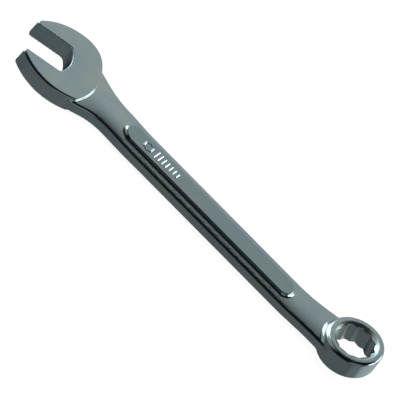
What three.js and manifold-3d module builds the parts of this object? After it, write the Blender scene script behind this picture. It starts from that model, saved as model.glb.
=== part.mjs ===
// Combination wrench, 17 mm: an open-end jaw turned 15 degrees to the shank at one end and a
// tilted twelve-point ring at the other, drop-forged from one bar of steel.
//
// Millimetres, +Z up. While the wrench is being built, X runs along the shank from the open end
// to the ring, X = 0 is the centre of the open end and Z = 0 is its middle plane. The finished
// solid is moved so that the middle of its bounding box's underside is the origin.

import * as THREE from 'three';
import { mergeVertices } from 'three/addons/utils/BufferGeometryUtils.js';
import Module from 'manifold-3d';

const wasm = await Module();
wasm.setup();

// ---- Driving dimensions -------------------------------------------------------------------

const ACROSS_FLATS = 17; // nominal size, the same at both ends
const END_SPACING = 181.4; // open-end centre to ring centre, along the shank

// Open end. Its own axes: x towards the shank, y across the jaws.
const JAW_ANGLE = THREE.MathUtils.degToRad(15);
const OPEN_END_SIDE_SHIFT = 1.8; // the open end sits this far off the shank's centre line
const OPEN_END_THICKNESS = 9.2;
const OPEN_END_WIDTH = 39;
const OPEN_END_EDGE_RADIUS = 1;
const JAW_OUTER_RADIUS = 28; // outside of each jaw
const JAW_NOSE_RADIUS = 1.5; // tip of each jaw, next to the opening
const WIDEST_X = 2.2;
const FAR_SHOULDER_X = 3.7; // the +Y jaw rounds off behind its widest point
const FAR_SHOULDER_RADIUS = 14;
const FAR_SHOULDER_END = 0.4; // where it becomes the rear edge, in radians from the jaws' axis
const REAR_EDGE_RADIUS = 27.8;
const NEAR_CORNER_RADIUS = 5; // rear edge to -Y jaw
const SEAT_RADIUS = 14; // the curved bottom of the jaw opening
const SEAT_DEPTH = 3.35; // how far the seat lies behind the open end's centre
const SEAT_CORNER_RADIUS = 2;

// Shank: crowned top and bottom, rounded edges, and a raised panel on both faces.
const SHANK_START_X = 8; // inside the open end
const SHANK_WIDTH = 17.7;
const SHANK_EDGE_THICKNESS = 5.2;
const SHANK_CROWN = 0.8; // extra height in the middle of each face
const SHANK_EDGE_RADIUS = 1.1;
const PANEL_START_X = 41.5;
const PANEL_END_X = 146;
const PANEL_WIDTH = 10.6;
const PANEL_THICKNESS = 9;
const PANEL_EDGE_SLOPE = 0.6; // how far the panel's edge leans in over its bevel
const PANEL_EDGE_HEIGHT = 1;

// Necks: where the shank widens into each end.
const FAR_NECK_X = 38; // the open-end neck's narrowest place, on the +Y side
const FAR_NECK_RADIUS = 44;
const NEAR_NECK_X = 34; // and on the -Y side
const NEAR_NECK_RADIUS = 28.4;
const FAR_NECK_ROOT = 15.5; // half width where the neck runs into the open end
const NEAR_NECK_ROOT = 13.9;
const NECK_ROOT_EASE = 3; // the flare eases out over this much width before its root
const NECK_END_X = 50; // the neck has straightened out here
const NECK_SIDE_SHIFT = 0.6; // the open-end neck leans towards +Y by this much
const NECK_THICKENING = 0.3; // extra height of each face of the open-end neck
const NECK_THICKENING_END_X = 60; // it has faded away here
const RING_NECK_START_X = 150;
const RING_NECK_RADIUS = 130;
const RING_RISE_START_X = 145;
const RING_RISE_END_X = 180;
const RING_RISE = 2.7; // the shank climbs this much before it meets the ring

// Ring end.
const RING_TILT = THREE.MathUtils.degToRad(15);
const RING_CENTRE_Z = 6.35;
const RING_TOP_DIAMETER = 28;
const RING_BOTTOM_DIAMETER = 29; // the outer wall drafts outwards
const RING_THICKNESS = 11.2;
const RING_WALL_LEAN = 0.12; // and stands this much nearer upright than the hole
const RING_EDGE_RADIUS = 1.8;
const RING_POINTS = 12;
const RING_POINT_TURN = THREE.MathUtils.degToRad(6.7); // first corner of the twelve, from +X
const LEAD_IN_DIAMETER = 21.7; // mouth of the cone at the top of the hole
const LEAD_IN_SLOPE = THREE.MathUtils.degToRad(33);

// Facets.
const ARC_STEP = THREE.MathUtils.degToRad(7.5);
const REAR_STEP = THREE.MathUtils.degToRad(5);
const EDGE_STEP = THREE.MathUtils.degToRad(22.5);
const BEVEL_FACETS = 3;
const RING_FACETS = 60;
const NECK_STATION_STEP = 2;

const steel = new THREE.MeshStandardMaterial({ color: 0x7d8886, roughness: 0.28, metalness: 1 });
steel.name = 'chrome_plated_steel';

// ---- Helpers ------------------------------------------------------------------------------

// Points along an arc, from one angle to another, in the direction of the sign of their difference.
function arc(x, y, radius, from, to, step = ARC_STEP) {
  const count = Math.max(1, Math.ceil(Math.abs(to - from) / step));
  return new THREE.EllipseCurve(x, y, radius, radius, from, to, to < from).getPoints(count);
}

function polar(centre, radius, angle) {
  return new THREE.Vector2(radius, 0).rotateAround(new THREE.Vector2(), angle).add(centre);
}

function mirrored(points) {
  return points.map((point) => new THREE.Vector2(point.x, -point.y)).reverse();
}

// A closed, merged copy of a geometry as a manifold solid.
function solid(geometry) {
  geometry.deleteAttribute('normal');
  geometry.deleteAttribute('uv');
  const merged = mergeVertices(geometry, 1e-5);
  return new wasm.Manifold(new wasm.Mesh({
    numProp: 3,
    vertProperties: new Float32Array(merged.attributes.position.array),
    triVerts: new Uint32Array(merged.index.array),
  }));
}

function toGeometry(manifold) {
  const mesh = manifold.getMesh();
  const geometry = new THREE.BufferGeometry();
  geometry.setAttribute('position', new THREE.BufferAttribute(mesh.vertProperties, 3));
  geometry.setIndex(new THREE.BufferAttribute(mesh.triVerts, 1));
  geometry.computeVertexNormals();
  return geometry;
}

// A plate of the given outline, centred on Z = 0, with rounded top and bottom edges.
function roundedPlate(outline, thickness, edgeInset, edgeHeight) {
  const plate = new THREE.ExtrudeGeometry(new THREE.Shape(outline), {
    depth: thickness - 2 * edgeHeight,
    bevelThickness: edgeHeight,
    bevelSize: edgeInset,
    bevelOffset: -edgeInset,
    bevelSegments: BEVEL_FACETS,
  });
  plate.translate(0, 0, edgeHeight - thickness / 2);
  return plate;
}

function prism(outline, bottom, top) {
  const geometry = new THREE.ExtrudeGeometry(new THREE.Shape(outline), {
    depth: top - bottom,
    bevelEnabled: false,
  });
  geometry.translate(0, 0, bottom);
  return geometry;
}

// A turned shape about Z from a closed outline of radii and heights.
function turned(outline) {
  const geometry = new THREE.LatheGeometry([...outline, outline[0]], RING_FACETS);
  geometry.rotateX(Math.PI / 2);
  return geometry;
}

// ---- Open end -----------------------------------------------------------------------------

function placeOpenEnd(geometry) {
  geometry.rotateZ(JAW_ANGLE);
  geometry.translate(0, OPEN_END_SIDE_SHIFT, 0);
  return geometry;
}

// Centre of the rounded nose of the +Y jaw: it touches the jaw's flat and its outer arc.
function jawNose() {
  const y = ACROSS_FLATS / 2 + JAW_NOSE_RADIUS;
  const rise = y - (OPEN_END_WIDTH / 2 - JAW_OUTER_RADIUS);
  const reach = JAW_OUTER_RADIUS - JAW_NOSE_RADIUS;
  const x = WIDEST_X - Math.sqrt(reach ** 2 - rise ** 2);
  return { x, y, turn: Math.atan2(rise, x - WIDEST_X) };
}

// Outside of the +Y jaw, from its foremost point to its widest.
function jawOutside() {
  const nose = jawNose();
  const centreY = OPEN_END_WIDTH / 2 - JAW_OUTER_RADIUS;
  return [
    ...arc(nose.x, nose.y, JAW_NOSE_RADIUS, Math.PI, nose.turn, EDGE_STEP),
    ...arc(WIDEST_X, centreY, JAW_OUTER_RADIUS, nose.turn, Math.PI / 2).slice(1),
  ];
}

// The point at the two distances from a and b that lies to the right of the line from a to b.
function commonPoint(a, reachA, b, reachB) {
  const gap = a.distanceTo(b);
  const along = (gap ** 2 + reachA ** 2 - reachB ** 2) / (2 * gap);
  return polar(a, reachA, b.clone().sub(a).angle() - Math.acos(along / reachA));
}

// The outside of the open end, clockwise from the nose of the +Y jaw. Behind the jaws it has a
// shoulder on the +Y side, a bowed rear edge and a corner on the -Y side.
function openEndOutline() {
  const half = OPEN_END_WIDTH / 2;
  const jaw = jawOutside();
  const nearJaw = new THREE.Vector2(WIDEST_X, JAW_OUTER_RADIUS - half);
  const shoulder = new THREE.Vector2(FAR_SHOULDER_X, half - FAR_SHOULDER_RADIUS);
  const rear = polar(shoulder, FAR_SHOULDER_RADIUS - REAR_EDGE_RADIUS, FAR_SHOULDER_END);
  const radius = NEAR_CORNER_RADIUS;
  const corner = commonPoint(rear, REAR_EDGE_RADIUS - radius, nearJaw, JAW_OUTER_RADIUS - radius);
  const cornerStart = corner.clone().sub(rear).angle() - 2 * Math.PI;
  const cornerEnd = corner.clone().sub(nearJaw).angle() - 2 * Math.PI;
  return [
    ...jaw,
    ...arc(shoulder.x, shoulder.y, FAR_SHOULDER_RADIUS, Math.PI / 2, FAR_SHOULDER_END),
    ...arc(rear.x, rear.y, REAR_EDGE_RADIUS, FAR_SHOULDER_END, cornerStart, REAR_STEP).slice(1),
    ...arc(corner.x, corner.y, radius, cornerStart, cornerEnd).slice(1),
    ...arc(nearJaw.x, nearJaw.y, JAW_OUTER_RADIUS, cornerEnd, -Math.PI / 2, REAR_STEP).slice(1, -1),
    ...mirrored(jaw),
  ];
}

function openEnd() {
  const radius = OPEN_END_EDGE_RADIUS;
  return placeOpenEnd(roundedPlate(openEndOutline(), OPEN_END_THICKNESS, radius, radius));
}

// The jaw opening, with rounded mouth corners and a bowed seat.
function jawOpening() {
  const half = ACROSS_FLATS / 2;
  const nose = jawNose();
  const mouthX = -OPEN_END_WIDTH;
  const mouthCorner = arc(nose.x, -nose.y, JAW_NOSE_RADIUS, Math.PI, Math.PI / 2, EDGE_STEP);
  const seatX = SEAT_DEPTH - SEAT_RADIUS;
  const cornerY = half - SEAT_CORNER_RADIUS;
  const cornerX = seatX + Math.sqrt((SEAT_RADIUS - SEAT_CORNER_RADIUS) ** 2 - cornerY ** 2);
  const turn = Math.atan2(cornerY, cornerX - seatX);
  const outline = [
    new THREE.Vector2(mouthX, -nose.y),
    ...mouthCorner,
    ...arc(cornerX, -cornerY, SEAT_CORNER_RADIUS, -Math.PI / 2, -turn, EDGE_STEP),
    ...arc(seatX, 0, SEAT_RADIUS, -turn, turn).slice(1, -1),
    ...arc(cornerX, cornerY, SEAT_CORNER_RADIUS, turn, Math.PI / 2, EDGE_STEP),
    ...mirrored(mouthCorner),
    new THREE.Vector2(mouthX, nose.y),
  ];
  return placeOpenEnd(prism(outline, -OPEN_END_THICKNESS, OPEN_END_THICKNESS));
}

// ---- Shank --------------------------------------------------------------------------------

// How far a concave arc of the given radius has moved outwards at a distance past its start.
function arcFlare(radius, distance) {
  const run = Math.max(0, distance);
  return radius - Math.sqrt(radius ** 2 - run ** 2);
}

// The smaller of two lengths, eased where they differ by less than the reach.
function easedMinimum(a, b, reach) {
  const near = Math.max(0, 1 - Math.abs(a - b) / reach);
  return Math.min(a, b) - (near ** 2 * reach) / 4;
}

// Distance from the centre line to one side of the shank; side is +1 for +Y, -1 for -Y.
function shankSide(x, side) {
  const root = side > 0 ? FAR_NECK_ROOT : NEAR_NECK_ROOT;
  const neckX = side > 0 ? FAR_NECK_X : NEAR_NECK_X;
  const neckRadius = side > 0 ? FAR_NECK_RADIUS : NEAR_NECK_RADIUS;
  const lean = side * NECK_SIDE_SHIFT * (1 - THREE.MathUtils.smoothstep(x, neckX, NECK_END_X));
  const openFlare = arcFlare(neckRadius, Math.min(neckX - x, neckRadius));
  const ringFlare = arcFlare(RING_NECK_RADIUS, x - RING_NECK_START_X);
  const width = SHANK_WIDTH / 2 + lean + openFlare;
  return easedMinimum(width, root, NECK_ROOT_EASE) + ringFlare;
}

function shankRise(x) {
  return RING_RISE * THREE.MathUtils.smoothstep(x, RING_RISE_START_X, RING_RISE_END_X);
}

// Extra height of each face, most at the open end.
function neckThickening(x) {
  return NECK_THICKENING * (1 - THREE.MathUtils.smoothstep(x, NEAR_NECK_X, NECK_THICKENING_END_X));
}

// Cross-section of the straight shank, seen along X.
function shankSection() {
  const halfWidth = SHANK_WIDTH / 2;
  const halfEdge = SHANK_EDGE_THICKNESS / 2;
  const radius = SHANK_EDGE_RADIUS;
  const run = halfWidth - radius;
  const crownRadius = (run ** 2 + SHANK_CROWN ** 2) / (2 * SHANK_CROWN);
  const slope = Math.asin(run / crownRadius);
  const crownCentre = halfEdge + SHANK_CROWN - crownRadius;
  const shoulder = Math.PI / 2 - slope;
  const top = [
    ...arc(run, halfEdge - radius, radius, 0, shoulder, EDGE_STEP),
    ...arc(0, crownCentre, crownRadius, shoulder, Math.PI - shoulder).slice(1, -1),
    ...arc(-run, halfEdge - radius, radius, Math.PI - shoulder, Math.PI, EDGE_STEP),
  ];
  return [...top, ...mirrored(top)];
}

// Places along X where the section is set: close together in the two necks only.
function shankStations() {
  const endX = END_SPACING - RING_TOP_DIAMETER / 5;
  const evenly = (from, to) => {
    const steps = Math.ceil((to - from) / NECK_STATION_STEP);
    return Array.from({ length: steps + 1 }, (unused, i) => from + ((to - from) * i) / steps);
  };
  return [...evenly(SHANK_START_X, NECK_THICKENING_END_X), ...evenly(RING_RISE_START_X, endX)];
}

// The section swept along the shank, its width and height following the two necks.
function shank() {
  const stations = shankStations();
  const steps = stations.length - 1;
  const geometry = new THREE.ExtrudeGeometry(new THREE.Shape(shankSection()), {
    depth: steps,
    steps,
    bevelEnabled: false,
  });
  const across = new THREE.Vector3(0, 1, 0);
  const up = new THREE.Vector3(0, 0, 1);
  const along = new THREE.Vector3(1, 0, 0);
  geometry.applyMatrix4(new THREE.Matrix4().makeBasis(across, up, along));
  const position = geometry.attributes.position;
  for (let i = 0; i < position.count; i += 1) {
    const x = stations[Math.round(position.getX(i))];
    const y = position.getY(i);
    const z = position.getZ(i);
    const widening = shankSide(x, Math.sign(y)) / (SHANK_WIDTH / 2);
    position.setXYZ(i, x, y * widening, z + Math.sign(z) * neckThickening(x) + shankRise(x));
  }
  return geometry;
}

// The raised panels on both faces, made as one plate that runs through the shank.
function panels() {
  const radius = PANEL_WIDTH / 2;
  const outline = [
    ...arc(PANEL_END_X - radius, 0, radius, -Math.PI / 2, Math.PI / 2),
    ...arc(PANEL_START_X + radius, 0, radius, Math.PI / 2, 1.5 * Math.PI),
  ];
  return roundedPlate(outline, PANEL_THICKNESS, PANEL_EDGE_SLOPE, PANEL_EDGE_HEIGHT);
}

// ---- Ring end -----------------------------------------------------------------------------

function placeRing(geometry) {
  geometry.rotateY(-RING_TILT);
  geometry.translate(END_SPACING, 0, RING_CENTRE_Z);
  return geometry;
}

function ring() {
  const half = RING_THICKNESS / 2;
  const edgeZ = half - RING_EDGE_RADIUS;
  const edge = (diameter, z, from, to) =>
    arc(diameter / 2 - RING_EDGE_RADIUS, z, RING_EDGE_RADIUS, from, to, EDGE_STEP);
  const bore = ACROSS_FLATS / 4;
  const outline = [
    new THREE.Vector2(bore, -half),
    ...edge(RING_BOTTOM_DIAMETER, -edgeZ, -Math.PI / 2, 0),
    ...edge(RING_TOP_DIAMETER, edgeZ, 0, Math.PI / 2),
    new THREE.Vector2(bore, half),
  ];
  const lean = new THREE.Matrix4().makeShear(0, 0, 0, 0, RING_WALL_LEAN, 0);
  const body = turned(outline).translate(0, 0, -half).applyMatrix4(lean).translate(0, 0, half);
  return placeRing(body);
}

// The twelve-point hole: two hexagons turned 30 degrees to each other.
function twelvePointOutline() {
  const outer = ACROSS_FLATS / Math.sqrt(3);
  const inner = ACROSS_FLATS / 2 / Math.cos(Math.PI / RING_POINTS);
  const outline = [];
  for (let i = 0; i < 2 * RING_POINTS; i += 1) {
    const angle = RING_POINT_TURN + (i * Math.PI) / RING_POINTS;
    const radius = i % 2 === 0 ? outer : inner;
    outline.push(new THREE.Vector2(radius * Math.cos(angle), radius * Math.sin(angle)));
  }
  return outline;
}

// The cone that leads a nut into the hole from the top of the ring.
function leadIn() {
  const face = RING_THICKNESS / 2;
  const steepness = Math.tan(LEAD_IN_SLOPE);
  const radius = LEAD_IN_DIAMETER / 2;
  const clearance = 1;
  const above = face + clearance * steepness;
  return placeRing(turned([
    new THREE.Vector2(0, face - radius * steepness),
    new THREE.Vector2(radius + clearance, above),
    new THREE.Vector2(0, above),
  ]));
}

// ---- Assembly -----------------------------------------------------------------------------

function wrenchGeometry() {
  const body = [shank(), panels(), ring()]
    .reduce((sum, geometry) => sum.add(solid(geometry)), solid(openEnd()));
  const cutters = [
    jawOpening(),
    placeRing(prism(twelvePointOutline(), -RING_THICKNESS, RING_THICKNESS)),
    leadIn(),
  ];
  const geometry = toGeometry(cutters.reduce((rest, cutter) => rest.subtract(solid(cutter)), body));
  geometry.computeBoundingBox();
  const { min, max } = geometry.boundingBox;
  geometry.translate(-(min.x + max.x) / 2, -(min.y + max.y) / 2, -min.z);
  return geometry;
}

const combinationWrench = new THREE.Group();
const wrench = new THREE.Mesh(wrenchGeometry(), steel);
wrench.name = 'wrench_forging';
combinationWrench.add(wrench);

export default combinationWrench;
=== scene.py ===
"""Looks of a chrome-plated 17 mm combination wrench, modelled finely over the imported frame.

The wrench is described by one field: a signed distance in millimetres, below zero inside the
steel. Its plates, shank, panels and ring are joined with true fillets and cut with the jaw opening
and the twelve-point hole, and the place where the field is zero becomes the mesh.

X runs along the shank from the open end to the ring, X = 0 is the centre of the open end and Z = 0
its middle plane. The finished mesh is moved onto the frame, whose origin is the middle of the
underside, and scaled to metres.
"""

import math

import bpy
import numpy as np
from mathutils import Euler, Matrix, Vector


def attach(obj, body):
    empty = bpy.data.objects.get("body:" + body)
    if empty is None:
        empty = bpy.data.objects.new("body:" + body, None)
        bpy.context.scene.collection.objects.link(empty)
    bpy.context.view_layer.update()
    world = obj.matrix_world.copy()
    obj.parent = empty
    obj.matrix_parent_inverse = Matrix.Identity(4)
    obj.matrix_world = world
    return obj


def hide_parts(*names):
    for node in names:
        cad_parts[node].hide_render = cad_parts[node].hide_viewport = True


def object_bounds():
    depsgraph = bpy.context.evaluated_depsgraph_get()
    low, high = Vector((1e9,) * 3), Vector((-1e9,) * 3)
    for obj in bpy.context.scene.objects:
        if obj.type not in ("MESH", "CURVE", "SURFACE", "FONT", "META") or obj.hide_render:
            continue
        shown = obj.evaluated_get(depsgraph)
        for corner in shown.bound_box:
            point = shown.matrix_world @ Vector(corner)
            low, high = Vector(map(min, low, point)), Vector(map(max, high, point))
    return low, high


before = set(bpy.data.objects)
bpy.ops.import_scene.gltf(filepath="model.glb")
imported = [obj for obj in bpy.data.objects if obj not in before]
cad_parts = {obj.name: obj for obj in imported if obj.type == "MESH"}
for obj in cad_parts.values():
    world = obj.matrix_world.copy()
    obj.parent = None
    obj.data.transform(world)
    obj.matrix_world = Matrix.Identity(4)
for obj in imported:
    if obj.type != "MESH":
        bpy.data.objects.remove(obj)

CAD_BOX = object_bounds()
WRENCH = "wrench_forging"
MM = 0.001

# ---- Driving dimensions, millimetres ----------------------------------------------------------

ACROSS_FLATS = 17.0  # nominal size, the same at both ends
END_SPACING = 181.4  # open-end centre to ring centre, along the shank

JAW_ANGLE = math.radians(15)
OPEN_END_SIDE_SHIFT = 1.8  # the open end sits this far off the shank's centre line
OPEN_END_THICKNESS = 9.2
OPEN_END_WIDTH = 39.0
OPEN_END_EDGE_RADIUS = 1.0
REAR_EDGE_ROUNDING = 0.35  # its edge is crisper where it drops to the shank
REAR_EDGE_START_X = 6.4  # along the jaws, where the edge starts to get crisper
REAR_EDGE_X = 16.0  # and where it is crispest
JAW_OUTER_RADIUS = 28.0  # outside of each jaw
JAW_NOSE_RADIUS = 1.5  # tip of each jaw, next to the opening
WIDEST_X = 2.2
FAR_SHOULDER_X = 3.7  # the +Y jaw rounds off behind its widest point
FAR_SHOULDER_RADIUS = 14.0
FAR_SHOULDER_END = 0.4  # where the shoulder becomes the rear edge, radians from the jaw's axis
REAR_EDGE_RADIUS = 27.8  # the open end's edge towards the shank
NEAR_CORNER_RADIUS = 5.0  # rear edge to -Y jaw
SEAT_RADIUS = 14.0  # the curved bottom of the jaw opening
SEAT_DEPTH = 3.35  # how far the seat lies behind the open end's centre
SEAT_CORNER_RADIUS = 2.0

SHANK_START_X = 8.0  # inside the open end
SHANK_WIDTH = 17.7
SHANK_EDGE_THICKNESS = 5.2
SHANK_CROWN = 0.8  # extra height in the middle of each face
SHANK_EDGE_RADIUS = 1.1
PANEL_START_X = 41.5
PANEL_END_X = 145.5
PANEL_TOP_WIDTH = 9.6
PANEL_THICKNESS = 9.0
PANEL_SIDE_SLOPE = 0.25  # how far the panel's side spreads for each millimetre down
PANEL_START_SLOPE = 1.4  # the same at its end by the open end
PANEL_END_SLOPE = 0.7  # and by the ring
PANEL_END_POWER = 3  # the higher, the closer the end slopes keep to the very ends
PANEL_EDGE_RADIUS = 0.45

FAR_NECK_X = 38.0  # the open-end neck's narrowest place, on the +Y side
FAR_NECK_RADIUS = 44.0
NEAR_NECK_X = 34.0  # and on the -Y side
NEAR_NECK_RADIUS = 28.4
FAR_NECK_ROOT = 15.5  # half width where the neck runs into the open end
NEAR_NECK_ROOT = 13.9
NECK_ROOT_EASE = 3.0  # the flare eases out over this much width before its root
NECK_END_X = 50.0  # the neck has straightened out here
NECK_SIDE_SHIFT = 0.6  # the open-end neck leans towards +Y by this much
NECK_THICKENING = 0.3  # extra height of each face of the open-end neck
NECK_THICKENING_END_X = 60.0  # it has faded away here
RING_NECK_START_X = 150.0
RING_NECK_RADIUS = 130.0
RING_RISE_START_X = 145.0
RING_RISE_END_X = 180.0
RING_RISE = 2.7  # the shank climbs this much before it meets the ring

RING_TILT = math.radians(15)
RING_CENTRE_Z = 6.35
RING_TOP_DIAMETER = 28.0
RING_BOTTOM_DIAMETER = 29.0  # the outer wall drafts outwards
RING_THICKNESS = 11.2
RING_WALL_LEAN = 0.12  # and stands this much nearer upright than the hole
RING_EDGE_RADIUS = 1.4
RING_POINTS = 12
RING_POINT_TURN = math.radians(6.7)  # first corner of the twelve, from +X
LEAD_IN_DIAMETER = 21.7  # mouth of the cone at the top of the hole
LEAD_IN_SLOPE = math.radians(33)
RING_CROWN_RADIUS = 16.0  # the ring's top falls away a little towards its rim
SHANK_END_X = END_SPACING - RING_TOP_DIAMETER / 5  # inside the ring

STEP_FILLET = 0.7  # open end to shank
PANEL_FILLET = 0.75
COLLAR_FILLET = 1.8  # shank to ring
UNDER_COLLAR_FILLET = 0.3  # the same at the underside, where the two run almost level
UNDER_COLLAR_REACH = 2.5  # height over which it grows
EDGE_BREAK = 0.25  # the machined edges of the opening and the hole

MARK_START_X = 54.0  # centre of the hexagon raised on the panel
MARK_HEIGHT = 5.0
MARK_STROKE = 0.85
MARK_FLAT = 0.3  # share of the stroke that is flat on top
MARK_RELIEF = 0.28
MARK_SHOULDER = 0.2  # height of the stroke's upright sides, as a share of its relief
MARK_BARS = 7
MARK_SPACING = 2.2
MARK_SLANT = 0.15

EDGE_AND_CREASE_REACH = 0.8  # how far from an edge the pale worn plating with its painted highlight reaches, and from a crease the painted shade
OPEN_CREASE = 0.4  # share of the painted crease shade and crease roughness in creases other than the grooves beside the panels
PANEL_TOP_START = 0.4  # depth below the panel's top at which its colour and finish start
PANEL_TOP_DEPTH = 0.1  # and from which they are complete
CELL = 0.5  # mesh size
SETTLING_ROUNDS = 30
MARGIN = 2.0  # free space left round the wrench while its surface is searched for

# ---- Field helpers ----------------------------------------------------------------------------


def union(a, b, fillet):
    """Both shapes, with a fillet where their surfaces meet."""
    meet = np.hypot(np.maximum(fillet - a, 0), np.maximum(fillet - b, 0))
    return np.maximum(fillet, np.minimum(a, b)) - meet


def overlap(a, b, rounding):
    """What the two shapes share, with a rounded edge where their surfaces cross."""
    cross = np.hypot(np.maximum(rounding + a, 0), np.maximum(rounding + b, 0))
    return np.minimum(-rounding, np.maximum(a, b)) + cross


def smoothstep(x, start, end):
    t = np.clip((x - start) / (end - start), 0, 1)
    return t * t * (3 - 2 * t)


def polar(centre, radius, angle):
    return (centre[0] + radius * math.cos(angle), centre[1] + radius * math.sin(angle))


def direction(start, end):
    return math.atan2(end[1] - start[1], end[0] - start[0])


def common_point(a, reach_a, b, reach_b):
    """The point at the two distances from a and b that lies to the right of the line from a to b."""
    gap = math.dist(a, b)
    along = (gap**2 + reach_a**2 - reach_b**2) / (2 * gap)
    off = math.acos(along / reach_a)
    return polar(a, reach_a, direction(a, b) - off)


def line(start, end):
    """A straight stretch of an outline, with the inside on its right: distance and sign."""
    run = math.dist(start, end)
    unit = ((end[0] - start[0]) / run, (end[1] - start[1]) / run)

    def measure(x, y):
        along = (x - start[0]) * unit[0] + (y - start[1]) * unit[1]
        across = (y - start[1]) * unit[0] - (x - start[0]) * unit[1]
        return np.hypot(across, along - np.clip(along, 0, run)), across

    return measure


def arc(centre, radius, start, end):
    """A round stretch between two angles. Clockwise ones bulge out, the others are hollow."""
    side = 1 if end < start else -1
    first = min(start, end)
    sweep = abs(end - start)

    def measure(x, y):
        dx = x - centre[0]
        dy = y - centre[1]
        past = (np.arctan2(dy, dx) - first) % (2 * math.pi)
        over = np.hypot(dx, dy) - radius
        tips = [polar(centre, radius, angle) for angle in (start, end)]
        ends = np.minimum(*[np.hypot(x - tip[0], y - tip[1]) for tip in tips])
        return np.where(past <= sweep, np.abs(over), ends), side * over

    return measure


def outline_distance(x, y, stretches):
    """Signed distance to a smooth outline, from whichever stretch is nearest."""
    nearest, signed = np.inf, 0
    for stretch in stretches:
        distance, side = stretch(x, y)
        closer = distance < nearest
        signed = np.where(closer, np.copysign(distance, side), signed)
        nearest = np.where(closer, distance, nearest)
    return signed


# ---- Open end ---------------------------------------------------------------------------------


def mirrored(point):
    return (point[0], -point[1])


def jaw_nose():
    """Centre of the +Y jaw's rounded nose, and the angle at which it runs into the outer arc."""
    nose_y = ACROSS_FLATS / 2 + JAW_NOSE_RADIUS
    rise = nose_y - (OPEN_END_WIDTH / 2 - JAW_OUTER_RADIUS)
    nose_x = WIDEST_X - math.sqrt((JAW_OUTER_RADIUS - JAW_NOSE_RADIUS) ** 2 - rise**2)
    return (nose_x, nose_y), math.atan2(rise, nose_x - WIDEST_X)


def open_end_outline():
    """Outside of the open end, clockwise from the front of the +Y jaw."""
    half = OPEN_END_WIDTH / 2
    nose, turn = jaw_nose()
    near_nose = mirrored(nose)
    far_jaw = (WIDEST_X, half - JAW_OUTER_RADIUS)
    near_jaw = mirrored(far_jaw)
    shoulder = (FAR_SHOULDER_X, half - FAR_SHOULDER_RADIUS)
    rear = polar(shoulder, FAR_SHOULDER_RADIUS - REAR_EDGE_RADIUS, FAR_SHOULDER_END)
    corner = common_point(
        rear, REAR_EDGE_RADIUS - NEAR_CORNER_RADIUS, near_jaw, JAW_OUTER_RADIUS - NEAR_CORNER_RADIUS
    )
    corner_start = direction(rear, corner)
    corner_end = direction(near_jaw, corner)
    return [
        arc(nose, JAW_NOSE_RADIUS, math.pi, turn),
        arc(far_jaw, JAW_OUTER_RADIUS, turn, math.pi / 2),
        line((WIDEST_X, half), (FAR_SHOULDER_X, half)),
        arc(shoulder, FAR_SHOULDER_RADIUS, math.pi / 2, FAR_SHOULDER_END),
        arc(rear, REAR_EDGE_RADIUS, FAR_SHOULDER_END, corner_start),
        arc(corner, NEAR_CORNER_RADIUS, corner_start, corner_end),
        arc(near_jaw, JAW_OUTER_RADIUS, corner_end, -turn),
        arc(near_nose, JAW_NOSE_RADIUS, -turn, -math.pi),
        line(polar(near_nose, JAW_NOSE_RADIUS, math.pi), polar(nose, JAW_NOSE_RADIUS, math.pi)),
    ]


def jaw_opening_outline():
    """The opening, clockwise from outside the +Y jaw: flats, rounded mouth and bowed seat."""
    half = ACROSS_FLATS / 2
    nose, _ = jaw_nose()
    seat = (SEAT_DEPTH - SEAT_RADIUS, 0)
    corner_y = half - SEAT_CORNER_RADIUS
    corner_x = seat[0] + math.sqrt((SEAT_RADIUS - SEAT_CORNER_RADIUS) ** 2 - corner_y**2)
    turn = math.atan2(corner_y, corner_x - seat[0])
    upper = [
        line((nose[0] - JAW_NOSE_RADIUS, 2 * OPEN_END_WIDTH), (nose[0] - JAW_NOSE_RADIUS, nose[1])),
        arc(nose, JAW_NOSE_RADIUS, -math.pi, -math.pi / 2),
        line((nose[0], half), (corner_x, half)),
        arc((corner_x, corner_y), SEAT_CORNER_RADIUS, math.pi / 2, turn),
    ]
    lower = [
        arc((corner_x, -corner_y), SEAT_CORNER_RADIUS, -turn, -math.pi / 2),
        line((corner_x, -half), (nose[0], -half)),
        arc(mirrored(nose), JAW_NOSE_RADIUS, math.pi / 2, math.pi),
        line((nose[0] - JAW_NOSE_RADIUS, -nose[1]), (nose[0] - JAW_NOSE_RADIUS, -2 * OPEN_END_WIDTH)),
    ]
    return [*upper, arc(seat, SEAT_RADIUS, turn, -turn), *lower]


OPEN_END_OUTLINE = open_end_outline()
JAW_OPENING_OUTLINE = jaw_opening_outline()


def open_end_axes(x, y):
    """Coordinates along and across the jaws."""
    shifted = y - OPEN_END_SIDE_SHIFT
    cos = math.cos(JAW_ANGLE)
    sin = math.sin(JAW_ANGLE)
    return cos * x + sin * shifted, cos * shifted - sin * x


def open_end_wall(x, y):
    along, across = open_end_axes(x, y)
    return outline_distance(along, across, OPEN_END_OUTLINE)


def jaw_opening(x, y):
    along, across = open_end_axes(x, y)
    return outline_distance(along, across, JAW_OPENING_OUTLINE)


# ---- Shank ------------------------------------------------------------------------------------


def arc_flare(radius, distance):
    """How far a hollow arc has moved outwards at a distance past its start."""
    run = np.clip(distance, 0, radius)
    return radius - np.sqrt(radius**2 - run**2)


def eased_minimum(a, b, reach):
    """The smaller of two lengths, eased where they differ by less than the reach."""
    near = np.maximum(1 - np.abs(a - b) / reach, 0)
    return np.minimum(a, b) - near**2 * reach / 4


def shank_side(x, neck_x, neck_radius, root, lean):
    """Distance from the centre line to one side."""
    shift = lean * (1 - smoothstep(x, neck_x, NECK_END_X))
    width = SHANK_WIDTH / 2 + shift + arc_flare(neck_radius, neck_x - x)
    ring_neck = arc_flare(RING_NECK_RADIUS, x - RING_NECK_START_X)
    return eased_minimum(width, root, NECK_ROOT_EASE) + ring_neck


def shank_rise(x):
    """The shank climbs towards the ring."""
    return RING_RISE * smoothstep(x, RING_RISE_START_X, RING_RISE_END_X)


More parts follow.
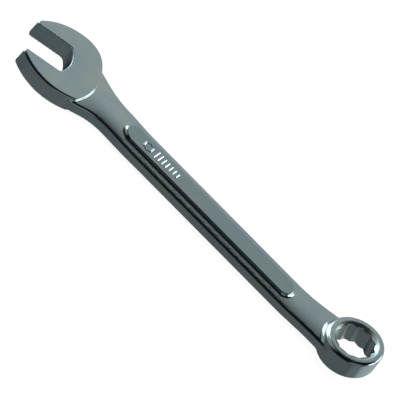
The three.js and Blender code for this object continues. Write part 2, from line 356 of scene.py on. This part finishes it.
def neck_thickening(x):
    """Extra height of each face, most at the open end."""
    return NECK_THICKENING * (1 - smoothstep(x, NEAR_NECK_X, NECK_THICKENING_END_X))


def steepness(profile, x):
    """Length of a step along a profile, for a unit step in x."""
    step = 0.1
    return np.hypot(1, (profile(x + step) - profile(x - step)) / (2 * step))


def far_side(x):
    return shank_side(x, FAR_NECK_X, FAR_NECK_RADIUS, FAR_NECK_ROOT, NECK_SIDE_SHIFT)


def near_side(x):
    return shank_side(x, NEAR_NECK_X, NEAR_NECK_RADIUS, NEAR_NECK_ROOT, -NECK_SIDE_SHIFT)


def shank(x, y, z):
    """The crowned bar, run through the open end, with a fillet at the open end's foot."""
    far = far_side(x)
    near = near_side(x)
    sides = np.maximum((y - far) / steepness(far_side, x), (-y - near) / steepness(near_side, x))
    share = np.where(y > 0, y / far, y / near)
    crown = SHANK_CROWN * (1 - np.clip(share, -1, 1) ** 2)
    half = SHANK_EDGE_THICKNESS / 2 + crown + neck_thickening(x)
    height = union(np.abs(z - shank_rise(x)) - half, open_end_wall(x, y), STEP_FILLET)
    ends = np.maximum(SHANK_START_X - x, x - SHANK_END_X)
    return np.maximum(overlap(sides, height, SHANK_EDGE_RADIUS), ends)


def open_end_and_shank(x, y, z):
    """Both, cut to the open end's thickness, which the shank alone never reaches. The open end's
    edge is rounded, less so towards the shank."""
    plan = np.minimum(open_end_wall(x, y), shank(x, y, z))
    top = np.abs(z - shank_rise(x)) - OPEN_END_THICKNESS / 2
    along, _ = open_end_axes(x, y)
    crisper = smoothstep(along, REAR_EDGE_START_X, REAR_EDGE_X)
    rounding = OPEN_END_EDGE_RADIUS + (REAR_EDGE_ROUNDING - OPEN_END_EDGE_RADIUS) * crisper
    return overlap(plan, top, rounding)


def panels(x, y, z):
    """The raised panel on each face, as one round-ended plate through the shank."""
    radius = PANEL_TOP_WIDTH / 2
    middle = (PANEL_START_X + PANEL_END_X) / 2
    straight = (PANEL_END_X - PANEL_START_X) / 2 - radius
    above = np.abs(z) - PANEL_THICKNESS / 2
    past = np.maximum(np.abs(x - middle) - straight, 0)
    out = np.hypot(past, y)
    end_slope = np.where(x < middle, PANEL_START_SLOPE, PANEL_END_SLOPE)
    clear_of_zero = np.maximum(out, 1)
    endwards = (past / clear_of_zero) ** PANEL_END_POWER
    lean = PANEL_SIDE_SLOPE + (end_slope - PANEL_SIDE_SLOPE) * endwards
    wall = (out - radius + lean * above) / np.hypot(1, lean)
    return overlap(wall, above, PANEL_EDGE_RADIUS)


# ---- Ring end ---------------------------------------------------------------------------------


def ring_axes(x, z):
    """Coordinates along the tilted ring and up its axis."""
    dx = x - END_SPACING
    dz = z - RING_CENTRE_Z
    cos = math.cos(RING_TILT)
    sin = math.sin(RING_TILT)
    return cos * dx + sin * dz, cos * dz - sin * dx


def ring(x, y, z):
    along, up = ring_axes(x, z)
    drop = RING_THICKNESS / 2 - up
    leaning = along + RING_WALL_LEAN * drop
    draft = (RING_BOTTOM_DIAMETER - RING_TOP_DIAMETER) / 2 / RING_THICKNESS
    wall = np.hypot(leaning, y) - RING_TOP_DIAMETER / 2 - draft * drop
    past_lead_in = np.maximum(np.hypot(along, y) - LEAD_IN_DIAMETER / 2, 0)
    crown = np.where(up > 0, past_lead_in**2 / (2 * RING_CROWN_RADIUS), 0)
    return overlap(wall, np.abs(up) - RING_THICKNESS / 2 + crown, RING_EDGE_RADIUS)


def hexagon(x, y, turn):
    """A hexagonal prism of the nominal size, with one corner at the given angle."""
    flats = [turn + math.pi / 6 + k * math.pi / 3 for k in range(3)]
    reach = [np.abs(x * math.cos(flat) + y * math.sin(flat)) for flat in flats]
    return np.maximum.reduce(reach) - ACROSS_FLATS / 2


def ring_hole(x, y, z):
    """Two hexagons turned half a step to each other, and the lead-in cone at the top."""
    along, up = ring_axes(x, z)
    turned = RING_POINT_TURN + 2 * math.pi / RING_POINTS
    points = np.minimum(hexagon(along, y, RING_POINT_TURN), hexagon(along, y, turned))
    inwards = np.hypot(along, y) - LEAD_IN_DIAMETER / 2
    below = RING_THICKNESS / 2 - up
    cone = inwards * math.sin(LEAD_IN_SLOPE) + below * math.cos(LEAD_IN_SLOPE)
    return np.minimum(points, cone)


# ---- The whole wrench -------------------------------------------------------------------------


def collar_fillet(x, z):
    """Fillet between shank and ring, smallest at the ring's underside."""
    _, up = ring_axes(x, z)
    bottom = -RING_THICKNESS / 2
    growth = smoothstep(up, bottom, bottom + UNDER_COLLAR_REACH)
    return UNDER_COLLAR_FILLET + (COLLAR_FILLET - UNDER_COLLAR_FILLET) * growth


def wrench(x, y, z):
    """Signed distance to the finished surface."""
    bar = union(open_end_and_shank(x, y, z), panels(x, y, z), PANEL_FILLET)
    bar = union(bar, ring(x, y, z), collar_fillet(x, z))
    bar = overlap(bar, -jaw_opening(x, y), EDGE_BREAK)
    return overlap(bar, -ring_hole(x, y, z), EDGE_BREAK)


def slope(points):
    """Direction in which the field grows fastest: the surface's outward normal."""
    step = 0.02
    rows = []
    for axis in np.eye(3) * step:
        rows.append(wrench(*(points + axis).T) - wrench(*(points - axis).T))
    gradient = np.stack(rows, axis=1)
    return gradient / np.linalg.norm(gradient, axis=1, keepdims=True)


# ---- Meshing ----------------------------------------------------------------------------------


def crossings(values, axes, axis):
    """Grid edges along one axis that the surface crosses: lower corner, place and sign."""
    low = np.moveaxis(values, axis, 0)[:-1]
    high = np.moveaxis(values, axis, 0)[1:]
    found = np.argwhere((low < 0) != (high < 0))
    at = tuple(found.T)
    part = low[at] / (low[at] - high[at])
    corner = np.insert(found[:, 1:], axis, found[:, 0], axis=1)
    place = np.stack([axes[k][corner[:, k]] for k in range(3)], axis=1)
    place[:, axis] += part * CELL
    return corner, place, low[at] < 0


def surface(low, high):
    """Vertices and quads where the field is zero. Each crossed cell holds one vertex, drawn to
    the planes of the surface at that cell's crossed edges, so that edges stay crisp."""
    axes = [np.arange(low[k], high[k] + CELL, CELL) for k in range(3)]
    grids = np.meshgrid(*axes, indexing="ij", sparse=True)
    values = wrench(*grids)
    shape = values.shape
    owners, places, facings, quads = [], [], [], []
    for axis in range(3):
        corner, place, leaving = crossings(values, axes, axis)
        first = np.eye(3, dtype=int)[(axis + 1) % 3]
        second = np.eye(3, dtype=int)[(axis + 2) % 3]
        around = [corner - first - second, corner - second, corner, corner - first]
        cells = np.stack([np.ravel_multi_index(cell.T, shape) for cell in around], axis=1)
        quads.append(np.where(leaving[:, None], cells, cells[:, ::-1]))
        owners.append(cells.ravel())
        places.append(np.repeat(place, 4, axis=0))
        facings.append(np.repeat(slope(place), 4, axis=0))
    quads = np.concatenate(quads)
    cells, owner = np.unique(np.concatenate(owners), return_inverse=True)
    vertices = settle(np.concatenate(places), np.concatenate(facings), owner, len(cells))
    return vertices, np.searchsorted(cells, quads)


def average(rows, owner, count):
    """Mean of the rows that belong to each owner."""
    total = np.stack([np.bincount(owner, rows[:, k], count) for k in range(3)], axis=1)
    return total / np.bincount(owner, minlength=count)[:, None]


def settle(places, normals, owner, count):
    """Moves each vertex from the middle of its crossings onto their planes."""
    middle = average(places, owner, count)
    vertices = middle.copy()
    for _ in range(SETTLING_ROUNDS):
        miss = np.sum((vertices[owner] - places) * normals, axis=1, keepdims=True)
        vertices -= average(miss * normals, owner, count)
        vertices = np.clip(vertices, middle - CELL / 2, middle + CELL / 2)
    return vertices


def surface_marks(vertices, normals):
    """For each vertex: how sharp an edge or crease it lies on, whether it was cut, whether it is
    on top of a panel, and whether it is on the rough forged faces beside one."""
    outside = wrench(*(vertices + normals * EDGE_AND_CREASE_REACH).T)
    inside = wrench(*(vertices - normals * EDGE_AND_CREASE_REACH).T)
    x, y, z = vertices.T
    cut = np.minimum(np.abs(jaw_opening(x, y)), np.abs(ring_hole(x, y, z))) < 2 * EDGE_BREAK
    top = PANEL_THICKNESS / 2
    on_panel = smoothstep(np.abs(z), top - PANEL_TOP_START, top - PANEL_TOP_DEPTH)
    along_panel = (x > PANEL_START_X) & (x < PANEL_END_X)
    half = PANEL_TOP_WIDTH / 2
    beside_panel = smoothstep(x, PANEL_START_X, PANEL_START_X + half)
    beside_panel *= 1 - smoothstep(x, PANEL_END_X - half, PANEL_END_X)
    return {
        # edge: pale worn plating with a painted highlight; crease: painted shade and extra roughness
        "edge": 1 + inside / EDGE_AND_CREASE_REACH,
        "crease": (1 - outside / EDGE_AND_CREASE_REACH) * (OPEN_CREASE + (1 - OPEN_CREASE) * beside_panel),
        "cut": cut.astype(float),
        "panel": on_panel * along_panel,
        "forged": beside_panel * (1 - on_panel),
    }


def wrench_surface():
    reach = OPEN_END_WIDTH / 2 + OPEN_END_SIDE_SHIFT + MARGIN
    low = (-OPEN_END_WIDTH / 2 - MARGIN, -reach, -OPEN_END_THICKNESS / 2 - MARGIN)
    high = (END_SPACING + RING_BOTTOM_DIAMETER / 2 + MARGIN, reach, RING_CENTRE_Z + RING_THICKNESS)
    return surface(low, high)


def underside_middle(vertices):
    """The frame's origin in the wrench's own axes."""
    middle = (vertices.min(axis=0) + vertices.max(axis=0)) / 2
    middle[2] = vertices[:, 2].min()
    return middle


def wrench_mesh(vertices, quads, origin):
    normals = slope(vertices)
    mesh = bpy.data.meshes.new("wrench")
    mesh.from_pydata(((vertices - origin) * MM).tolist(), [], quads.tolist())
    mesh.polygons.foreach_set("use_smooth", np.ones(len(quads), dtype=bool))
    mesh.normals_split_custom_set_from_vertices(normals.tolist())
    for name, marks in surface_marks(vertices, normals).items():
        mesh.attributes.new(name, "FLOAT", "POINT").data.foreach_set("value", marks)
    return mesh


# ---- Raised mark on the panel -----------------------------------------------------------------


def mark_strokes():
    """A hexagon and, behind it, slanted bars that grow shorter towards the ring."""
    corners = [polar((MARK_START_X, 0), MARK_HEIGHT / 2, (k + 0.5) * math.pi / 3) for k in range(6)]
    strokes = [(corners, True)]
    for k in range(MARK_BARS):
        x = MARK_START_X + MARK_HEIGHT + k * MARK_SPACING
        half = MARK_HEIGHT / 2 * (1 - k / (2 * MARK_BARS))
        strokes.append(([(x - MARK_SLANT * half, -half), (x + MARK_SLANT * half, half)], False))
    return strokes


def unit_rows(rows):
    """The same directions with length one."""
    return rows / np.linalg.norm(rows, axis=1, keepdims=True)


def stroke(path, closed):
    """A bead with bevelled edges along a path on the panel: its vertices and faces."""
    half = MARK_STROKE / 2
    foot = -MARK_RELIEF
    shoulder = MARK_SHOULDER * MARK_RELIEF
    left = [(half, foot), (half, shoulder), (MARK_FLAT * half, MARK_RELIEF)]
    profile = [*left, *[(-across, up) for across, up in reversed(left)]]
    points = np.array(path)
    arriving = unit_rows(points - np.roll(points, 1, axis=0))
    leaving = unit_rows(np.roll(points, -1, axis=0) - points)
    if not closed:
        arriving[0] = leaving[0]
        leaving[-1] = arriving[-1]
    mitre = arriving + leaving
    mitre /= 1 + np.sum(arriving * leaving, axis=1, keepdims=True)
    aside = np.stack([-mitre[:, 1], mitre[:, 0]], axis=1)
    vertices = []
    for point, side in zip(points, aside):
        vertices += [(*(point + side * across), PANEL_THICKNESS / 2 + up) for across, up in profile]
    count = len(profile)
    faces = []
    for row in range(len(points) if closed else len(points) - 1):
        here = row * count
        there = (row + 1) % len(points) * count
        for k in range(count):
            after = (k + 1) % count
            faces.append((here + k, here + after, there + after, there + k))
    if not closed:
        faces.append(tuple(reversed(range(count))))
        faces.append(tuple(range(len(vertices) - count, len(vertices))))
    return vertices, faces


def mark_mesh(origin):
    """The raised strokes as closed beads, given the pale edge colour all over as a painted highlight.
    """
    vertices, faces = [], []
    for path, closed in mark_strokes():
        more, sides = stroke(path, closed)
        faces += [tuple(len(vertices) + k for k in side) for side in sides]
        vertices += more
    mesh = bpy.data.meshes.new("panel_mark")
    mesh.from_pydata(((np.array(vertices) - origin) * MM).tolist(), [], faces)
    # every vertex counts as an edge, so the whole mark is painted pale as a highlight
    edges = mesh.attributes.new("edge", "FLOAT", "POINT")
    edges.data.foreach_set("value", np.ones(len(vertices)))
    return mesh


# ---- Materials --------------------------------------------------------------------------------

CHROME_GREEN = (0.49, 0.56, 0.53)
CHROME_BLUE = (0.41, 0.51, 0.55)
CHROME_DARK = (0.31, 0.40, 0.42)
# pale edges: partly worn plating, partly a painted highlight
WORN_AND_HIGHLIGHTED_EDGE = (0.72, 0.78, 0.79)
# near black: painted shade in creases
PAINTED_CREASE_SHADE = (0.06, 0.07, 0.07)

# How strongly each tint shows, as a share of 1.
RING_DARKENING = 0.38  # from none by the open end
DARKENING_REACH = 0.6  # share of the wrench's length over which it grows
PANEL_DARKENING = 0.8
CUT_BRIGHTENING = 0.3
# paleness of edges, worn plating with a painted highlight
EDGE_WEAR_AND_HIGHLIGHT = 0.5
# painted shade in creases, strongest in the grooves beside the panels
CREASE_SHADE_STRENGTH = 0.9

# Noise patterns, in coarsest features per metre.
CLOUDS = 90
HANDLING_MARKS = 350
SKIN_GRAIN = 700
FORGED_GRAIN = 1100
CUT_STREAKS = 1400
FORGED_STRETCH = (0.45, 1, 1)  # drawn out along the wrench
STREAK_STRETCH = (1, 1, 0.04)  # drawn out along the cut, from face to face

SKIN_ROUGHNESS = (0.09, 0.16)
CUT_ROUGHNESS = (0.14, 0.26)
CREASE_ROUGHNESS = 0.25
SKIN_RELIEF = 0.00003
FORGED_RELIEF = 5.0  # times the relief of the skin elsewhere
RELIEF_STRENGTH = 0.5

FLOOR_GREY = (0.15, 0.15, 0.15)
FLOOR_ROUGHNESS = 0.9
FLOOR_GLOW = 0.93


def add_node(tree, kind, links=(), **values):
    """A node with the given socket values and incoming links, each named by its socket."""
    node = tree.nodes.new(kind)
    for name, value in values.items():
        setattr(node, name, value)
    for name, source in dict(links).items():
        tree.links.new(source, node.inputs[name])
    return node


def noise(tree, place, scale, detail):
    """A noise pattern; scale is its coarsest features per metre."""
    node = add_node(tree, "ShaderNodeTexNoise", {"Vector": place})
    node.inputs["Scale"].default_value = scale
    node.inputs["Detail"].default_value = detail
    return node.outputs["Fac"]


def remap(tree, value, source, target):
    node = add_node(tree, "ShaderNodeMapRange", {"Value": value})
    node.inputs["From Min"].default_value = source[0]
    node.inputs["From Max"].default_value = source[1]
    node.inputs["To Min"].default_value = target[0]
    node.inputs["To Max"].default_value = target[1]
    return node.outputs["Result"]


def tinted(tree, amount, base, tint):
    """The base colour, a socket, turned into the tint by an amount, another socket."""
    node = add_node(tree, "ShaderNodeMix", data_type="RGBA")
    tree.links.new(amount, node.inputs["Factor"])
    tree.links.new(base, node.inputs["A"])
    node.inputs["B"].default_value = (*tint, 1)
    return node.outputs["Result"]


def surface_mark(tree, name):
    """One of the values stored for each vertex, as a socket."""
    return add_node(tree, "ShaderNodeAttribute", attribute_name=name).outputs["Fac"]


def combined(tree, operation, first, second):
    """The result of an operation on two values. The second is a socket or a number."""
    node = add_node(tree, "ShaderNodeMath", operation=operation)
    tree.links.new(first, node.inputs[0])
    if isinstance(second, float):
        node.inputs[1].default_value = second
    else:
        tree.links.new(second, node.inputs[1])
    return node.outputs["Value"]


def stretched(tree, place, scales):
    node = add_node(tree, "ShaderNodeMapping", {"Vector": place})
    node.inputs["Scale"].default_value = scales
    return node.outputs["Vector"]


def chrome_colour(tree, place):
    """Cloudy green-grey plating, bluer on the panels and towards the ring, pale on edges as worn
    plating with a painted highlight, and darkened in creases with painted shade."""
    clouds = remap(tree, noise(tree, place, CLOUDS, 3), (0.35, 0.65), (0, 1))
    cast = add_node(tree, "ShaderNodeRGB")
    cast.outputs["Color"].default_value = (*CHROME_GREEN, 1)
    colour = tinted(tree, clouds, cast.outputs["Color"], CHROME_BLUE)
    along = add_node(tree, "ShaderNodeSeparateXYZ", {"Vector": place}).outputs["X"]
    (front, _, _), (back, _, _) = CAD_BOX
    reach = (front * DARKENING_REACH, back * DARKENING_REACH)
    darker = remap(tree, along, reach, (0, RING_DARKENING))
    cut = combined(tree, "MULTIPLY", surface_mark(tree, "cut"), CUT_BRIGHTENING)
    colour = tinted(tree, combined(tree, "SUBTRACT", darker, cut), colour, CHROME_DARK)
    on_panel = combined(tree, "MULTIPLY", surface_mark(tree, "panel"), PANEL_DARKENING)
    colour = tinted(tree, on_panel, colour, CHROME_DARK)
    # edges turn pale: worn plating with a painted highlight
    worn_and_highlighted = remap(tree, surface_mark(tree, "edge"), (0.3, 1), (0, EDGE_WEAR_AND_HIGHLIGHT))
    colour = tinted(tree, worn_and_highlighted, colour, WORN_AND_HIGHLIGHTED_EDGE)
    # creases darken: painted shade
    crease_amount = remap(tree, surface_mark(tree, "crease"), (0.1, 0.5), (0, CREASE_SHADE_STRENGTH))
    return tinted(tree, crease_amount, colour, PAINTED_CREASE_SHADE)


def chrome_roughness(tree, place, streaks):
    """Bright plating over a forged skin, with the broached and milled faces duller."""
    skin = remap(tree, noise(tree, place, HANDLING_MARKS, 4), (0.3, 0.7), SKIN_ROUGHNESS)
    cut = remap(tree, streaks, (0.3, 0.7), CUT_ROUGHNESS)
    dull = combined(tree, "MULTIPLY", surface_mark(tree, "cut"), cut)
    crease_amount = remap(tree, surface_mark(tree, "crease"), (0.1, 0.6), (0, CREASE_ROUGHNESS))
    return combined(tree, "ADD", combined(tree, "ADD", skin, dull), crease_amount)


def chrome_relief(tree, place, streaks):
    """Fine unevenness of the skin, with fine lines on cut faces and a strong grain on forged ones."""
    skin = noise(tree, place, SKIN_GRAIN, 3)
    cut_lines = combined(tree, "MULTIPLY", surface_mark(tree, "cut"), streaks)
    grain = noise(tree, stretched(tree, place, FORGED_STRETCH), FORGED_GRAIN, 2)
    strong_grain = combined(tree, "MULTIPLY", grain, FORGED_RELIEF)
    forged = combined(tree, "MULTIPLY", strong_grain, surface_mark(tree, "forged"))
    return combined(tree, "ADD", combined(tree, "ADD", skin, cut_lines), forged)


def chrome():
    material = bpy.data.materials.new("plating")
    material.use_nodes = True
    tree = material.node_tree
    shader = tree.nodes["Principled BSDF"]
    place = add_node(tree, "ShaderNodeTexCoord").outputs["Object"]
    streaks = noise(tree, stretched(tree, place, STREAK_STRETCH), CUT_STREAKS, 2)
    tree.links.new(chrome_colour(tree, place), shader.inputs["Base Color"])
    tree.links.new(chrome_roughness(tree, place, streaks), shader.inputs["Roughness"])
    shader.inputs["Metallic"].default_value = 1
    relief = chrome_relief(tree, place, streaks)
    bump = add_node(tree, "ShaderNodeBump", {"Height": relief})
    bump.inputs["Strength"].default_value = RELIEF_STRENGTH
    bump.inputs["Distance"].default_value = SKIN_RELIEF
    tree.links.new(bump.outputs["Normal"], shader.inputs["Normal"])
    return material


def white_floor():
    """Paper lit from behind, so that only the faintest shadow falls on it."""
    material = bpy.data.materials.new("white_floor")
    material.use_nodes = True
    shader = material.node_tree.nodes["Principled BSDF"]
    shader.inputs["Base Color"].default_value = (*FLOOR_GREY, 1)
    shader.inputs["Roughness"].default_value = FLOOR_ROUGHNESS
    shader.inputs["Emission Color"].default_value = (1, 1, 1, 1)
    shader.inputs["Emission Strength"].default_value = FLOOR_GLOW
    return material


# ---- Scene ------------------------------------------------------------------------------------

# Metres and watts; the lens and its sensor are in millimetres.
FLOOR_SIZE = 6.0
KEY_SIZE = 1.2
KEY_HEIGHT = 1.5
KEY_POWER = 14
CAMERA_AZIMUTH = math.radians(-3.42)
CAMERA_ELEVATION = math.radians(43.33)
CAMERA_ROLL = math.radians(47.64)
CAMERA_DISTANCE = 1.1994
CAMERA_AIM = (-0.0021, 0.0452, -0.265)  # off the wrench's middle, in shares of its size
CAMERA_LENS = 241.2
SENSOR_WIDTH = 36
CAMERA_REACH = 20
ROOM_TINT = (0.94, 1.0, 1.02)
DIM_ROOM = 0.01

# Soft patches of light round the wrench: azimuth from +Y towards +X and elevation of the middle,
# then the angles at which the patch starts to fade and has faded, in degrees, and its radiance.
LIGHT_PATCHES = [
    (0, 10, 30, 62, 0.53),  # far wall
    (60, -8, 30, 55, 0.62),  # right wall
    (-80, 15, 15, 50, 0.5),  # left wall
    (-65, -1, 12, 29, 3.6),  # left softbox
    (-48, 27, 7, 21, 3.2),  # and the one above it
    (49, 22, 7, 20, 3.6),  # right softbox
    (78, 18, 6, 20, 3.0),  # and the one beside it
    (136, 14, 13, 30, 0.3),  # right rear wall
    (0, 90, 3, 10, 0.14),  # lamp overhead
    (176, -52, 25, 66, 0.175),  # bounce from the table
    (-105, -33, 10, 42, 0.17),  # and from its left edge
    (106, -33, 8, 32, 0.26),  # and from its right edge
]


def add_object(name, data):
    thing = bpy.data.objects.new(name, data)
    bpy.context.scene.collection.objects.link(thing)
    return thing


def add_wrench():
    vertices, quads = wrench_surface()
    origin = underside_middle(vertices)
    plating = chrome()
    meshes = {"wrench": wrench_mesh(vertices, quads, origin), "panel_mark": mark_mesh(origin)}
    for name, mesh in meshes.items():
        mesh.materials.append(plating)
        piece = add_object(name, mesh)
        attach(piece, "root")
        if name == "wrench":
            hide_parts(WRENCH)


def add_floor():
    half = FLOOR_SIZE / 2
    mesh = bpy.data.meshes.new("floor")
    corners = [(-half, -half, 0), (half, -half, 0), (half, half, 0), (-half, half, 0)]
    mesh.from_pydata(corners, [], [(0, 1, 2, 3)])
    mesh.materials.append(white_floor())
    floor = add_object("floor", mesh)
    floor.visible_glossy = False


def camera_target():
    low, high = [np.array(corner) for corner in CAD_BOX]
    return Vector((low + high) / 2 + (high - low) * CAMERA_AIM)


def add_camera():
    data = bpy.data.cameras.new("camera")
    data.lens = CAMERA_LENS
    data.sensor_width = SENSOR_WIDTH
    data.clip_end = CAMERA_REACH
    camera = add_object("camera", data)
    level = math.cos(CAMERA_ELEVATION)
    back = Vector((
        math.sin(CAMERA_AZIMUTH) * level,
        -math.cos(CAMERA_AZIMUTH) * level,
        math.sin(CAMERA_ELEVATION),
    ))
    camera.location = camera_target() + back * CAMERA_DISTANCE
    upright = (-back).to_track_quat("-Z", "Y")
    camera.rotation_mode = "QUATERNION"
    camera.rotation_quaternion = upright @ Euler((0, 0, CAMERA_ROLL)).to_quaternion()
    bpy.context.scene.camera = camera


def towards(azimuth, elevation):
    across = math.radians(azimuth)
    up = math.radians(elevation)
    return (math.sin(across) * math.cos(up), math.cos(across) * math.cos(up), math.sin(up))


def add_patch(tree, direction, others, patch):
    """Lays one patch of light over the others, if any, and the dim room; returns its socket."""
    azimuth, elevation, inner, outer, radiance = patch
    facing = add_node(tree, "ShaderNodeVectorMath", {0: direction}, operation="DOT_PRODUCT")
    facing.inputs[1].default_value = towards(azimuth, elevation)
    fade = add_node(tree, "ShaderNodeMapRange", interpolation_type="SMOOTHSTEP")
    fade.inputs["From Min"].default_value = math.cos(math.radians(outer))
    fade.inputs["From Max"].default_value = math.cos(math.radians(inner))
    fade.inputs["To Max"].default_value = radiance
    tree.links.new(facing.outputs["Value"], fade.inputs["Value"])
    return combined(tree, "MAXIMUM", fade.outputs["Result"], others)


def set_surroundings():
    world = bpy.data.worlds.new("studio")
    bpy.context.scene.world = world
    world.use_nodes = True
    tree = world.node_tree
    direction = tree.nodes.new("ShaderNodeTexCoord").outputs["Generated"]
    total = DIM_ROOM
    for patch in LIGHT_PATCHES:
        total = add_patch(tree, direction, total, patch)
    tree.links.new(total, tree.nodes["Background"].inputs["Strength"])
    tree.nodes["Background"].inputs["Color"].default_value = (*ROOM_TINT, 1)
    bpy.context.scene.view_settings.view_transform = "Standard"


def add_key_light():
    """A large soft lamp that lights the floor and throws the wrench's faint shadow."""
    data = bpy.data.lights.new("key", "AREA")
    data.shape = "SQUARE"
    data.size = KEY_SIZE
    data.energy = KEY_POWER
    lamp = add_object("key", data)
    lamp.location = (0, 0, KEY_HEIGHT)
    lamp.visible_glossy = False


add_camera()
set_surroundings()
add_key_light()
add_floor()
add_wrench()
